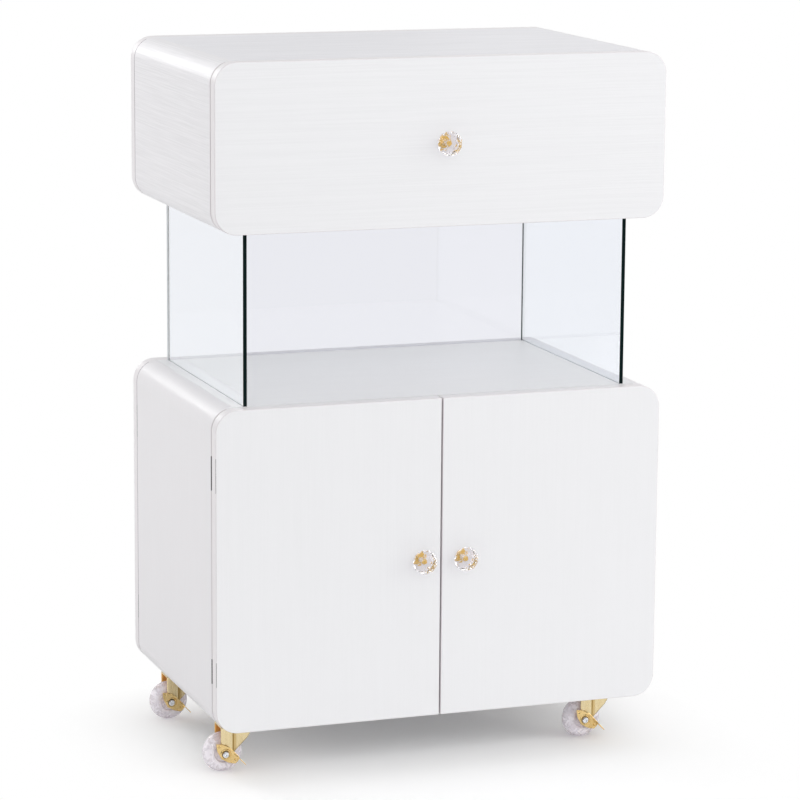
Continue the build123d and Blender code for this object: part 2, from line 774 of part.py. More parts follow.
plates = [Pos(x, y, 0) * caster_plate() for x, y in caster_places.values()]
parts["caster_plates"] = group([cut(plate, rooms_at(plate_screw_places, wood_screw)) for plate in plates])
for name, (x, y) in caster_places.items():
    parts[f"{name}_caster_fork"] = Pos(x, y, 0) * caster_fork()
    parts[f"{name}_caster_wheel"] = Pos(x, y, 0) * caster_wheel()
    parts[f"{name}_caster_axle"] = Pos(x, y, 0) * caster_axle()
    parts[f"{name}_caster_brake"] = Pos(x, y, 0) * caster_brake()

os.makedirs("parts", exist_ok=True)
for name, shape in parts.items():
    export_step(shape, f"parts/{name}.step")
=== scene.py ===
# %% [markdown]
# # Dressing a rolling storage cart
#
# The cart is a drawer box over a glass walled bay over a cupboard, on four swivel casters. Its solids are
# already built and fixed in place, so this lesson only gives them their looks: white film on the boards,
# cut glass, faceted crystal knobs, gilded pressings and clear wheels. Everything is in metres, with X to the
# right, Y to the back and Z up, and the floor at Z 0.

# %% Load the solids
import json
import math

import bmesh
import bpy
import numpy as np
from mathutils import Matrix, Vector


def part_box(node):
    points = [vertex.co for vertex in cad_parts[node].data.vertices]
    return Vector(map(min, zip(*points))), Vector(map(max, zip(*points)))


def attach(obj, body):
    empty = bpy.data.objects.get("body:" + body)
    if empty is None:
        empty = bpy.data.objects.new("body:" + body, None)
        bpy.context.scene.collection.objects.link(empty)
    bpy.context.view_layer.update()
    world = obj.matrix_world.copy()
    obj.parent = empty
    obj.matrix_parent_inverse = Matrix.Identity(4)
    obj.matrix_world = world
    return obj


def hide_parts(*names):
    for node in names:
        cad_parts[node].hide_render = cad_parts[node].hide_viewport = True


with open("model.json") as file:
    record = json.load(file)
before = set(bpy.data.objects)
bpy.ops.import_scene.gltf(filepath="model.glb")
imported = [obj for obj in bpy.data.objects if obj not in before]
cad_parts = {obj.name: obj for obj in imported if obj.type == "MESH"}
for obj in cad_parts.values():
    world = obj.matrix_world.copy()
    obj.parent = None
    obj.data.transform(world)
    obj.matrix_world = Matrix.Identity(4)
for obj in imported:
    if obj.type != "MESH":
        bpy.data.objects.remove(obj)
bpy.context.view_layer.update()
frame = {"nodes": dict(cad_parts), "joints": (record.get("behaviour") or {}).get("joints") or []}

mm = 0.001


def add_object(name, data):
    """Object that holds the data, linked into the scene."""
    thing = bpy.data.objects.new(name, data)
    bpy.context.scene.collection.objects.link(thing)
    return thing


# %% [markdown]
# ## The camera
#
# The picture was taken from the front left with a long lens, from a little above the top. A camera can be
# placed by eye, or worked out from the straight edges of the cart. The second way was used: the angles and
# the distance below make the edges fall where they do in the photograph.

# %% Place the camera
CAMERA_PLACE = Vector((-1.4894, -4.1581, 1.3100))
CAMERA_YAW = math.radians(19.791)
CAMERA_PITCH = math.radians(11.042)
CAMERA_ROLL = math.radians(0.4224)
CAMERA_LENS = 153.73


def make_camera():
    """Long lens camera, turned right by the yaw, down by the pitch and about its own axis by the roll."""
    data = bpy.data.cameras.new("photo_camera")
    data.sensor_width = 36
    data.lens = CAMERA_LENS
    data.clip_end = 100
    camera = add_object("photo_camera", data)
    stand = Matrix.Translation(CAMERA_PLACE)
    for angle, axis in ((-CAMERA_YAW, "Z"), (math.pi / 2 - CAMERA_PITCH, "X"), (CAMERA_ROLL, "Z")):
        stand = stand @ Matrix.Rotation(angle, 4, axis)
    camera.matrix_world = stand
    bpy.context.scene.camera = camera
    return camera


camera = make_camera()
bpy.context.scene.view_settings.view_transform = "Standard"
print("camera:", tuple(round(v, 3) for v in camera.location))

# %% [markdown]
# ## Building shaders in a few lines
#
# Every finish here is a small tree of nodes. Writing each node and link in full hides what matters, so short
# helpers start a material with its surface shader, add a node with its inputs joined, and make what nearly
# every finish needs: a sum, a change of range, a noise, a relief and a mix of two colours. A value that is
# the same everywhere is set on the shader's own socket.

# %% Nodes and links
def feed(owner, node, values):
    """Joins inputs of a node to sockets, or sets them to values; the owner is a material or a world."""
    for key, value in values.items():
        if isinstance(value, bpy.types.NodeSocket):
            owner.node_tree.links.new(value, node.inputs[key])
        else:
            node.inputs[key].default_value = value


def new_material(name, values):
    """Material with one Principled shader, whose inputs are set by name."""
    material = bpy.data.materials.new(name)
    material.use_nodes = True
    shader = material.node_tree.nodes["Principled BSDF"]
    feed(material, shader, values)
    return material, shader


def add_node(owner, kind, values=None, **settings):
    """Node of a kind, with its settings, and with inputs joined to sockets or set to values."""
    node = owner.node_tree.nodes.new(f"ShaderNode{kind}")
    for key, value in settings.items():
        setattr(node, key, value)
    feed(owner, node, values or {})
    return node


print("nodes and links ready")

# %% Sums, ranges, patterns and mixes
def calc(owner, operation, *numbers):
    """Result of a sum on one or two numbers or sockets."""
    return add_node(owner, "Math", dict(enumerate(numbers)), operation=operation).outputs[0]


def span(owner, value, low=0.0, high=1.0, to_low=0.0, to_high=1.0):
    """A value's place between low and high, carried over to between to_low and to_high and held there."""
    ends = {"From Min": low, "From Max": high, "To Min": to_low, "To Max": to_high}
    return add_node(owner, "MapRange", {"Value": value, **ends}).outputs["Result"]


def own_place(owner):
    """Place on the piece in its own coordinates, which are those of the cart at rest."""
    return add_node(owner, "TexCoord").outputs["Object"]


def stretched(owner, place, scale):
    """The place, scaled along each axis: a large scale makes a pattern short along that axis."""
    return add_node(owner, "Mapping", {"Vector": place, "Scale": scale}).outputs["Vector"]


def noise(owner, place, scale, detail, distortion=0.0):
    """Smooth noise between 0 and 1."""
    values = {"Vector": place, "Scale": scale, "Detail": detail, "Distortion": distortion}
    return add_node(owner, "TexNoise", values).outputs["Fac"]


def emboss(material, shader, height, strength, distance):
    """Shades the surface as if it rose by the height, of which 1 stands for the distance."""
    bump = add_node(material, "Bump", {"Height": height, "Strength": strength, "Distance": distance})
    feed(material, shader, {"Normal": bump.outputs["Normal"]})


def colour_between(owner, factor, first, second):
    """Mix of two colours, each a socket or three numbers, by a factor socket."""
    mix = add_node(owner, "Mix", {"Factor": factor}, data_type="RGBA")
    ends = [key for key, socket in enumerate(mix.inputs) if socket.type == "RGBA"]
    colours = [part if isinstance(part, bpy.types.NodeSocket) else (*part, 1) for part in (first, second)]
    feed(owner, mix, dict(zip(ends, colours)))
    return next(socket for socket in mix.outputs if socket.type == "RGBA")


def surface_between(material, factor, first, second):
    """Sends the mix of two shaders to the material's surface."""
    mix = add_node(material, "MixShader", {0: factor, 1: first.outputs[0], 2: second.outputs[0]})
    feed(material, material.node_tree.nodes["Material Output"], {"Surface": mix.outputs[0]})


print("shader helpers ready")

# %% [markdown]
# ## Floor, backdrop and light
#
# A studio picture on white has no horizon. The floor could be lit until it burns out, but then the cart
# burns out as well. So the floor is a pale sheet for the light, and a little brighter for the rays that see
# it: straight, through glass or in a gloss. Away from the ground that the cart shades it passes into plain
# white, as the world behind it is for the same rays, so that its edge is lost and its shadow stays. The
# strengths were found as a mixer does it: each lamp was rendered alone, and the sum that comes closest to the
# tones of the photograph was worked out. The key stands far to the right and draws the knobs' shadows to the
# left. A narrow lamp behind on the left draws the bright band on the rounded corners.

# %% World
WORLD_STRENGTH = 0.616
ROOM_DARK = 0.15
ROOM_FRONT, ROOM_BACK = -0.5, 0.3


def seen_rays(owner):
    """Two sockets: 1 for rays from the camera or through glass, and 1 for these and those from gloss. Both
    are 0 for the rays that light the scene."""
    rays = add_node(owner, "LightPath").outputs
    looking = calc(owner, "MAXIMUM", rays["Is Camera Ray"], rays["Is Transmission Ray"])
    return looking, calc(owner, "MAXIMUM", looking, rays["Is Glossy Ray"])


def make_world():
    """White world: strength 1 where it is seen, weaker where it lights the cart. For gloss it darkens from
    the back towards the front, because the photographer's half of a studio is a dark room."""
    world = bpy.data.worlds.new("white_studio")
    world.use_nodes = True
    bpy.context.scene.world = world
    looking, seen = seen_rays(world)
    mirrored = calc(world, "SUBTRACT", seen, looking)
    direction = add_node(world, "SeparateXYZ", {0: add_node(world, "TexCoord").outputs["Generated"]})
    room = span(world, direction.outputs["Y"], ROOM_FRONT, ROOM_BACK, ROOM_DARK)
    share = span(world, mirrored, to_low=1.0, to_high=room)
    strength = calc(world, "MULTIPLY", span(world, seen, to_low=WORLD_STRENGTH), share)
    feed(world, world.node_tree.nodes["Background"], {"Color": (1, 1, 1, 1), "Strength": strength})
    return world


print("world:", make_world().name)

# %% Floor
FLOOR_PALE = 0.80
FLOOR_SEEN = 1.08
FLOOR_REACH = 0.20
FLOOR_CORNERS = ((-2.4, -0.9, 0), (2.4, -0.9, 0), (2.4, 2.4, 0), (-2.4, 2.4, 0))
SHADED_MIDDLE = (0, -0.20, 0)
SHADED_HALF = (0.24, 0.30, 0)


def calc_vector(owner, operation, *vectors, result="Vector"):
    """Result of a sum on one or two vectors or sockets."""
    return add_node(owner, "VectorMath", dict(enumerate(vectors)), operation=operation).outputs[result]


def make_floor():
    """Pale sheet under the wheels. For rays that look it passes into white with the distance from the shaded
    ground, which is how far the absolute place, less the half size, is above zero."""
    mesh = bpy.data.meshes.new("studio_floor")
    mesh.from_pydata(FLOOR_CORNERS, [], [(0, 1, 2, 3)])
    floor = add_object("studio_floor", mesh)
    material, shader = new_material("floor_paper", {"Roughness": 1.0, "Specular IOR Level": 0.0})
    away = calc_vector(material, "SUBTRACT", own_place(material), SHADED_MIDDLE)
    beyond = calc_vector(material, "SUBTRACT", calc_vector(material, "ABSOLUTE", away), SHADED_HALF)
    beyond = calc_vector(material, "MAXIMUM", beyond, (0, 0, 0))
    distance = calc_vector(material, "LENGTH", beyond, result="Value")
    looking, seen = seen_rays(material)
    feed(material, shader, {"Base Color": span(material, seen, to_low=FLOOR_PALE, to_high=FLOOR_SEEN)})
    far = calc(material, "MULTIPLY", span(material, distance, high=FLOOR_REACH), looking)
    surface_between(material, far, shader, add_node(material, "Emission", {"Strength": 1.0}))
    mesh.materials.append(material)
    return floor


print("floor:", make_floor().name)

# %% Lamps
def make_lamp(name, place, target, size, power):
    """Soft rectangular lamp that faces a target."""
    data = bpy.data.lights.new(name, "AREA")
    data.shape = "RECTANGLE"
    data.size, data.size_y = size
    data.energy = power
    lamp = add_object(name, data)
    direction = Vector(target) - Vector(place)
    lamp.matrix_world = Matrix.Translation(place) @ direction.to_track_quat("-Z", "Y").to_matrix().to_4x4()
    lamp.visible_camera = False
    return lamp


lamps = [
    make_lamp("right_key", (2.9, -1.85, 1.25), (0, -0.18, 0.6), (1.8, 2.2), 35.5),
    make_lamp("front_high_fill", (0.3, -3.2, 2.4), (0, 0, 0.5), (2.6, 1.4), 29.2),
    make_lamp("camera_side_fill", (-1.4, -4.2, 1.5), (0, 0, 0.5), (1.5, 1.5), 16.2),
    make_lamp("left_fill", (-3.2, 0.3, 1.0), (0, 0, 0.6), (1.5, 1.5), 15.9),
    make_lamp("back_left_strip", (-1.25, 2.5, 1.75), (-0.25, 0, 0.75), (0.6, 1.1), 13.1),
    make_lamp("back_right_rim", (1.6, 2.6, 1.6), (0, 0, 0.6), (1.2, 1.2), 1.2),
    make_lamp("back_high_rim", (-0.5, 3.0, 2.2), (0, 0, 0.6), (1.8, 1.0), 1.9),
]
print("lamps:", [lamp.name for lamp in lamps])

# %% [markdown]
# ## White film with a pressed grain
#
# The boards are wrapped in a white film into which a fine wood grain is pressed. The drawer front's lines run
# level, the doors' lines run upright, and round the upper sides they run front to back. An image of grain
# would repeat and needs a file. Noise that is stretched sixty times along one direction gives lines that
# never repeat. The same noise makes the lines' relief, a trace of colour, and the change of gloss.

# %% Film finishes
FRONT_WHITE = (0.850, 0.850, 0.866)
SIDE_WHITE = (0.850, 0.838, 0.862)
# The lower sides' white is darker than the same film on the upper sides: painted shade.
LOWER_SHADED_WHITE = (0.816, 0.802, 0.822)
TOP_WHITE = (0.850, 0.846, 0.884)
# The boards' narrow edges are a darker white: painted shade in the gaps between the boards.
EDGE_SHADED_WHITE = (0.815, 0.788, 0.805)
LINE_DEPTH = 0.030
LINE_RELIEF = 0.35
LINE_HEIGHT = 0.6 * mm
GRAIN_LENGTH = 0.120
GRAIN_WIDTH = 0.0018
LINE_ROUGH, FILM_ROUGH = 0.44, 0.32


def make_film(name, grain, white, depth=1.0, uses_uv=False):
    """Film whose noise is stretched along one axis: the scale is one over the size of a line on each axis.
    The lines are the white, darkened a little, and fade in and out with a broader noise."""
    material, shader = new_material(name, {"Roughness": 0.36, "IOR": 1.46})
    place = add_node(material, "UVMap", uv_map="grain").outputs["UV"] if uses_uv else own_place(material)
    scale = [1 / (GRAIN_LENGTH if axis == grain else GRAIN_WIDTH) for axis in "XYZ"]
    fitted = stretched(material, place, scale)
    lines = noise(material, fitted, scale=1.0, detail=1.5, distortion=0.25)
    fading = span(material, noise(material, fitted, scale=0.22, detail=1.0), 0.3, 0.7, to_low=0.8)
    press = calc(material, "MULTIPLY", lines, fading)
    line = [(1 - LINE_DEPTH * depth) * part for part in white]
    feed(material, shader, {
        "Base Color": colour_between(material, span(material, press, 0.30, 0.60), line, white),
        "Roughness": span(material, lines, to_low=LINE_ROUGH, to_high=FILM_ROUGH),
    })
    emboss(material, shader, press, LINE_RELIEF * depth, LINE_HEIGHT)
    return material


film_level = make_film("film_level_grain", "X", FRONT_WHITE, 0.8)
film_upright = make_film("film_upright_grain", "Z", FRONT_WHITE, 0.35)
film_upper_side = make_film("film_upper_side_grain", "X", SIDE_WHITE, 2.2, uses_uv=True)
film_lower_side_shaded = make_film("film_lower_side_grain_shaded", "X", LOWER_SHADED_WHITE, 0.5, uses_uv=True)
film_top = make_film("film_top_grain", "X", TOP_WHITE, 3.0)
# Edge film in the darker white: painted shade of the gaps.
edge_film_painted_shade = make_film("film_edge_band_painted_shade", "Z", EDGE_SHADED_WHITE, 0.3)
film_plain = make_film("film_plain_inside", "Y", FRONT_WHITE, 0.3)
print("film finishes:", film_level.name, film_upright.name, film_upper_side.name, film_lower_side_shaded.name)

# %% [markdown]
# ## Joints of the film, with painted gap shade
#
# Where two sheets of film meet at an edge, a thin joint shows, slightly darker and never quite even. It could
# be a groove, but it is finer than any face here. So it is a colour on the boards' narrow rims, which is
# partly the joint and partly painted shade of the gap beside it, far darker on the back boards. Beside the
# doors it is painted nearly black at the hinges: painted shade where their metal sits just behind the gap.

# %% Joint finishes
# Heights and half heights of the hinge bands, and their nearly black colour: painted shade in the door gap.
HINGE_SHADE_BANDS = ((0.402, 0.022), (0.146, 0.016))
HINGE_SHADE_PAINT = (0.012, 0.010, 0.016)
HINGE_EDGE = 0.27
GAP_FRONT = -0.184


def make_joint_with_shade(name, dark, light):
    """Rosy grey line, broken by noise, partly a joint and partly painted shade of the gap. It is painted
    nearly black as shade behind the gap's front, beyond the hinges' edge on either side, and within half a
    band's height of its middle."""
    material, shader = new_material(name, {"Roughness": 0.6, "IOR": 1.46})
    place = own_place(material)
    x, y, z = add_node(material, "SeparateXYZ", {0: place}).outputs
    in_gap = calc(material, "GREATER_THAN", y, GAP_FRONT)
    outer = calc(material, "GREATER_THAN", calc(material, "ABSOLUTE", x), HINGE_EDGE)
    shade_bands = []
    for middle, half in HINGE_SHADE_BANDS:
        away = calc(material, "ABSOLUTE", calc(material, "SUBTRACT", z, middle))
        shade_bands.append(calc(material, "LESS_THAN", away, half))
    beside = calc(material, "MULTIPLY", in_gap, outer)
    painted_shade = calc(material, "MULTIPLY", calc(material, "MAXIMUM", *shade_bands), beside)
    line = colour_between(material, noise(material, place, scale=35.0, detail=3.0), dark, light)
    feed(material, shader, {"Base Color": colour_between(material, painted_shade, line, HINGE_SHADE_PAINT)})
    return material


# The joint lines are partly painted shade of the gap: the back boards' line is much darker for it.
front_joint_shade = make_joint_with_shade("film_front_joint_shade", (0.66, 0.62, 0.64), (0.76, 0.72, 0.745))
back_joint_shade = make_joint_with_shade("film_back_joint_shade", (0.27, 0.22, 0.26), (0.42, 0.36, 0.41))
print("joints:", front_joint_shade.name, back_joint_shade.name)

# %% [markdown]
# ## Clear materials
#
# Glass bends light, and a path tracer would need thousands of rays to find the light behind a pane. So each
# clear material lets shadow rays straight through with a slight tint, and bends only what is seen. The
# narrow edges of a pane look along the whole sheet, which is why they are almost black green there: they get
# a finish of their own.

# %% Glass, crystal and clear wheels
RIPPLE_HEIGHT = 2 * mm


def make_clear(name, tint, shadow_tint, ior, roughness, cloud, clear=1.0, patchy=0.0, ripple=0.0):
    """Clear shader for what is seen, tinted transparency for shadows, and a faint cloudiness by noise. What
    is not clear is milky, by a share that goes up and down in patches, and a ripple mottles the view."""
    sockets = {"Base Color": (*tint, 1), "Roughness": roughness, "IOR": ior, "Transmission Weight": clear}
    material, shader = new_material(name, sockets)
    place = own_place(material)
    flow = noise(material, place, scale=22.0, detail=2.0)
    feed(material, shader, {"Roughness": span(material, flow, 0.35, 0.75, roughness, roughness + cloud)})
    if patchy:
        patches = noise(material, place, scale=95.0, detail=3.0, distortion=1.2)
        share = span(material, patches, 0.42, 0.58, clear - patchy, clear + patchy)
        feed(material, shader, {"Transmission Weight": share})
    if ripple:
        waves = noise(material, place, scale=170.0, detail=2.0)
        emboss(material, shader, waves, ripple, RIPPLE_HEIGHT)
    rays = add_node(material, "LightPath").outputs
    passing = calc(material, "MAXIMUM", rays["Is Shadow Ray"], rays["Is Diffuse Ray"])
    straight = add_node(material, "BsdfTransparent", {"Color": (*shadow_tint, 1)})
    surface_between(material, passing, shader, straight)
    return material


def make_pane_edge(name, dark, light):
    """Ground and polished edge: a dark green, with slightly lighter streaks along the cut. Towards the back
    the light colour takes over, which is painted light: faint on the right and back panes, pale on the left."""
    material, shader = new_material(name, {"IOR": 1.5, "Specular IOR Level": 0.2})
    place = own_place(material)
    streak = noise(material, stretched(material, place, (300, 300, 12)), scale=1.0, detail=2.0)
    cut = colour_between(material, streak, dark, [2.5 * part for part in dark])
    depth = add_node(material, "SeparateXYZ", {0: place}).outputs["Y"]
    feed(material, shader, {
        "Base Color": colour_between(material, span(material, depth, 0.10, 0.16), cut, light),
        "Roughness": span(material, streak, to_low=0.05, to_high=0.22),
    })
    return material


PANE = {"shadow_tint": (0.95, 0.96, 0.965), "ior": 1.5, "roughness": 0.0, "cloud": 0.003}
EDGE_GREEN = (0.0015, 0.006, 0.006)
left_glass = make_clear("left_pane_glass", (0.968, 0.988, 1.000), **PANE)
# All three panes are one glass: the right and back ones are tinted darker than the left as painted shade.
right_glass = make_clear("right_pane_glass_painted_shade", (0.880, 0.905, 0.950), **PANE)
back_glass = make_clear("back_pane_glass_painted_shade", (0.850, 0.857, 0.905), **PANE)
# Edge colours that pale towards the back: painted light, strongest on the left pane.
pane_edge = make_pane_edge("pane_edge_green", EDGE_GREEN, (0.045, 0.060, 0.065))
left_edge_painted_light = make_pane_edge("left_pane_edge_painted_light", EDGE_GREEN, (0.62, 0.66, 0.70))
crystal = make_clear("knob_crystal_clear", (0.975, 0.960, 0.975), (0.88, 0.87, 0.89), 1.45, 0.0, cloud=0.01)
wheel_clear = make_clear("wheel_clear_lilac", (0.97, 0.93, 0.98), (0.78, 0.75, 0.80), 1.44, 0.02,
                         cloud=0.06, clear=0.31, patchy=0.20, ripple=0.5)
print("clear finishes:", left_glass.name, crystal.name, wheel_clear.name)

# %% [markdown]
# ## Metals and bare wood
#
# The casters and the knobs' stems have a gold plating, the slides and screws are zinc plated, and the bolts
# are polished. Real plating is never even: the gloss changes in patches and the pressing leaves fine lines.
# Each metal therefore mixes two tones and two degrees of gloss by noise. The forks are pale outside. Where
# the sheet is creased and folded they are browner, which is painted shade, and inside they are a warm
# orange, which is a painted reflection of the fork in itself.

# %% Metal and wood finishes
PLATING_HEIGHT = 0.2 * mm
# The first gold is the plating; the fold's and crease's browner golds are painted shade, the inside's warm
# gold a painted reflection.
FORK_GOLDS_AND_SHADES = (
    ("gold_plating", (0.87, 0.74, 0.46), (0.76, 0.60, 0.32), 0.20, 0.30, 0.85),
    ("gold_fold_painted_shade", (0.72, 0.55, 0.27), (0.60, 0.43, 0.18), 0.25, 0.35, 0.85),
    ("gold_crease_painted_shade", (0.46, 0.30, 0.08), (0.34, 0.20, 0.04), 0.30, 0.40, 0.85),
    ("gold_inside_painted_reflection", (0.98, 0.56, 0.16), (0.85, 0.44, 0.10), 0.35, 0.50, 0.5),
)


def make_metal(name, light, dark, smooth, rough, metallic=1.0, stretch=(1, 1, 1), grain=180.0, relief=0.05):
    """Metal with two tones and two degrees of gloss, mixed by one noise that can be stretched into lines."""
    material, shader = new_material(name, {"Metallic": metallic})
    patches = noise(material, stretched(material, own_place(material), stretch), grain, detail=4.0)
    feed(material, shader, {
        "Base Color": colour_between(material, patches, dark, light),
        "Roughness": span(material, patches, 0.3, 0.7, rough, smooth),
    })
    emboss(material, shader, patches, relief, PLATING_HEIGHT)
    return material


def make_dowel_wood():
    """Beech: two browns in bands that are stretched along X, the length of most dowels."""
    material, shader = new_material("dowel_beech", {"Roughness": 0.6})
    fibres = noise(material, stretched(material, own_place(material), (40, 900, 900)), scale=1.0, detail=3.0)
    colour = colour_between(material, fibres, (0.42, 0.27, 0.13), (0.62, 0.44, 0.25))
    feed(material, shader, {"Base Color": colour})
    return material


fork_golds_and_shades = [make_metal(*row, stretch=(3, 3, 0.3), grain=60.0, relief=0.03) for row in FORK_GOLDS_AND_SHADES]
gold_deep = make_metal("gold_lever_plating", (0.92, 0.72, 0.37), (0.72, 0.48, 0.17), 0.18, 0.30,
                       grain=70.0, relief=0.02)
gold_foil = make_metal("gold_foil_base", (0.92, 0.64, 0.17), (0.66, 0.38, 0.04), 0.25, 0.40, 0.3,
                       grain=420.0)
zinc = make_metal("zinc_plating", (0.72, 0.73, 0.76), (0.56, 0.57, 0.60), 0.28, 0.45, stretch=(1, 0.08, 1))
polished = make_metal("polished_plating", (0.88, 0.89, 0.92), (0.76, 0.78, 0.82), 0.08, 0.2, grain=90.0)
beech = make_dowel_wood()
print("metals:", [gold.name for gold in fork_golds_and_shades], zinc.name, polished.name)

# %% [markdown]
# ## From numbers to a mesh
#
# Each new piece is a surface: a grid of points, row after row, that numpy works out as one array. A cube or a
# cylinder from the menu would be quicker, but has no rounded rims, seams or bends. One helper turns any such
# grid into a mesh: every four neighbours make a face, points that coincide at poles and seams are merged, and
# edges sharper than a given angle stay crisp. Large faces decide how a rim is shaded, so that they look flat.

# %% Arrays into a mesh
def fill_mesh(mesh, points, faces, uv, slots):
    """Puts whole arrays into a mesh: points, faces with equally many corners, their UVs and slots."""
    count, sides = faces.shape
    mesh.vertices.add(len(points))
    mesh.vertices.foreach_set("co", points.astype(np.float32).ravel())
    mesh.loops.add(count * sides)
    mesh.loops.foreach_set("vertex_index", faces.astype(np.int32).ravel())
    mesh.polygons.add(count)
    mesh.polygons.foreach_set("loop_start", np.arange(count, dtype=np.int32) * sides)
    mesh.polygons.foreach_set("material_index", slots.astype(np.int32))
    mesh.update(calc_edges=True)
    layer = mesh.uv_layers.new(name="grain")
    layer.data.foreach_set("uv", uv[faces.ravel()].astype(np.float32).ravel())
    mesh.validate()


def grid_faces(rows, columns):
    """Corners of the quads between neighbouring rows and columns of points."""
    row, column = np.meshgrid(np.arange(rows - 1), np.arange(columns - 1), indexing="ij")
    corner = row * columns + column
    return np.stack([corner, corner + 1, corner + columns + 1, corner + columns], axis=-1).reshape(-1, 4)


def join_parts(parts):
    """Stacks several (points, faces, uv, slots) sets into one; all have faces with equally many corners."""
    points, faces, uvs, slots = zip(*parts)
    starts = np.cumsum([0] + [len(some) for some in points[:-1]])
    faces = [some + start for some, start in zip(faces, starts)]
    return tuple(np.concatenate(group) for group in (points, faces, uvs, slots))


def grid_part(grid, uv=None, slot=0):
    """One grid of points (rows, columns, 3) as a part; the slot is one number or one for each face."""
    rows, columns = grid.shape[:2]
    uv = np.zeros((rows, columns, 2)) if uv is None else uv
    slots = np.broadcast_to(slot, (rows - 1, columns - 1))
    return grid.reshape(-1, 3), grid_faces(rows, columns), uv.reshape(-1, 2), slots.ravel()


print("a grid of 3 by 4 points has", len(grid_faces(3, 4)), "faces")

# %% Parts into a piece
MERGE = 1e-6
NO_LENGTH = 1e-7


def make_piece(name, parts, materials, body, stands_for, crisp=30.0, flat=False):
    """Object from parts that rides on a body and stands for CAD nodes: doubles merged, faces turned outwards,
    smooth but for edges over the crisp angle, or flat all over."""
    mesh = bpy.data.meshes.new(name)
    fill_mesh(mesh, *join_parts(parts))
    shape = bmesh.new()
    shape.from_mesh(mesh)
    bmesh.ops.remove_doubles(shape, verts=shape.verts, dist=MERGE)
    bmesh.ops.dissolve_degenerate(shape, edges=shape.edges, dist=NO_LENGTH)
    bmesh.ops.recalc_face_normals(shape, faces=shape.faces)
    shape.to_mesh(mesh)
    shape.free()
    for material in materials:
        mesh.materials.append(material)
    piece = add_object(name, mesh)
    if flat:
        mesh.shade_flat()
    else:
        mesh.shade_smooth()
        mesh.set_sharp_from_angle(angle=math.radians(crisp))
        piece.modifiers.new("even_shading", "WEIGHTED_NORMAL").keep_sharp = True
    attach(piece, body)
    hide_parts(*stands_for)
    return piece


print("pieces can be made")

# %% [markdown]
# ## Boards with rounded outlines
#
# The drawer front, the doors and the two back boards are flat boards whose outline has round corners and
# whose rims are eased over. They could be a box with two bevels, but then the large corner and the small rim
# must be bevelled in turn. Here one formula gives both: the outline is drawn once, and each ring of the
# surface is that outline drawn in by some inset at some depth.

# %% Outline and board
RIM = 1.0 * mm
RIM_STEPS = 5
CORNER_STEPS = 12
SQUARE = (0, 0, 0, 0)
JOINT_SHADE_ROWS = (3, 4, 6, 7)
LINE_SLOPE = 0.35


def outline_ring(width, height, radii, inset):
    """Closed outline of a rectangle with round corners: each corner's centre plus its radius, less the inset,
    in every direction of that quarter. The radii go lower right, upper right, upper left, lower left."""
    radii = np.maximum(np.asarray(radii, dtype=float), RIM)
    sides = np.array([(1, -1), (1, 1), (-1, 1), (-1, -1)])
    centres = sides * (np.array([width, height]) / 2 - radii[:, None])
    start = np.array([-90, 0, 90, 180])
    angles = np.radians(start[:, None] + np.linspace(0, 90, CORNER_STEPS)[None, :])
    reach = (radii - inset)[:, None]
    a = centres[:, :1] + reach * np.cos(angles)
    b = centres[:, 1:] + reach * np.sin(angles)
    ring = np.stack([a.ravel(), b.ravel()], axis=-1)
    return np.concatenate([ring, ring[:1]])


def rim_profile(thickness, rim):
    """Insets and depths of the rings: quarter round at the face, straight side, quarter round at the back."""
    turn = np.radians(np.linspace(0, 90, RIM_STEPS))
    inset = rim * (1 - np.sin(turn))
    depth = rim * (1 - np.cos(turn))
    return np.concatenate([inset, inset[::-1]]), np.concatenate([depth, thickness - depth[::-1]])


def make_board(name, node, facing, materials, radii=SQUARE, rim=RIM, body="cabinet"):
    """Board that fills the box of its CAD node, with its face on the side that facing points to. Rings run
    from the face's middle round the rim to the back's middle. The first material is for the faces, the second
    for the edge, and the last for the lines where the edge meets the rims, except along top and bottom. On
    the film boards the edge's darker white and the lines are painted shade of the gaps, the lines partly
    joints."""
    low, high = np.array(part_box(node))
    facing = np.array(facing)
    across, upward = np.eye(3)[facing == 0]
    size = high - low
    face_middle = np.where(facing == 0, (low + high) / 2, np.where(facing > 0, high, low))
    insets, depths = rim_profile(abs(facing @ size), rim)
    outline = (across @ size, upward @ size, radii)
    rings = np.array([outline_ring(*outline, inset) for inset in insets])
    flat = np.concatenate([rings[:1] * 0, rings, rings[-1:] * 0])
    depths = np.concatenate([depths[:1], depths, depths[-1:]])
    grid = face_middle + flat[..., :1] * across + flat[..., 1:] * upward - depths[:, None, None] * facing
    run = np.diff(outline_ring(*outline, 0), axis=0)
    upright = np.abs(run[:, 1]) > LINE_SLOPE * np.linalg.norm(run, axis=1)
    slots = np.zeros((len(grid) - 1, len(run)), dtype=int)
    slots[1:-1] = min(1, len(materials) - 1)
    slots[np.ix_(JOINT_SHADE_ROWS, upright)] = len(materials) - 1
    return make_piece(name, [grid_part(grid, uv=flat, slot=slots)], materials, body, [node])


